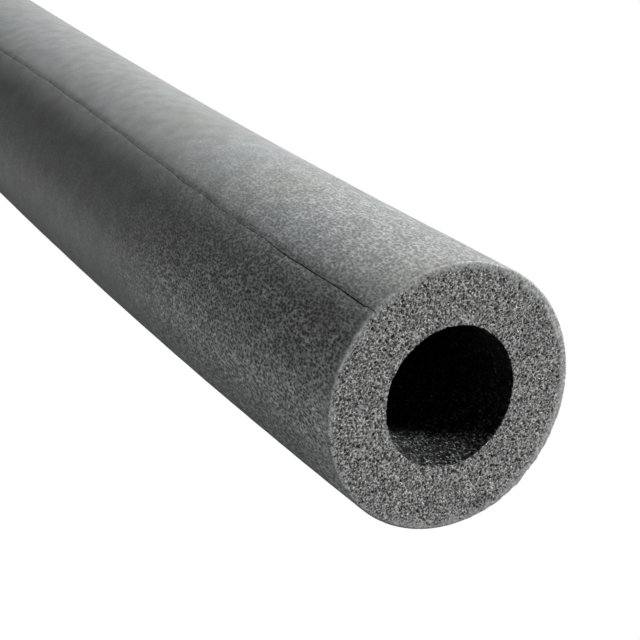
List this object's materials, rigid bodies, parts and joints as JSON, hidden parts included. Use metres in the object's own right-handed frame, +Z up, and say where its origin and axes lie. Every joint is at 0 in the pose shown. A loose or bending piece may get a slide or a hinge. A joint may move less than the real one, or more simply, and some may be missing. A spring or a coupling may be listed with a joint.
{
  "type": "pipe insulation lagging",
  "caption": "Length of grey foam pipe lagging: a round thick-walled tube, slightly bowed, with a scored slit along its outside.",
  "frame": {"origin": "on the floor, under the middle of the tube's bounding box", "axes": "+X along the chord between the two cut ends, towards the end where it bends; +Z up; the bend carries the tube towards -Y, and its slit is on the upper -Y side"},
  "size_m": [1.0018, 0.0614, 0.0549],
  "materials": {
    "grey_foam": "soft closed-cell foam, with a finely speckled skin and open cells on the cut ends"
  },
  "bodies": {
    "root": {"foam_tube": "grey_foam"}
  },
  "joints": []
}
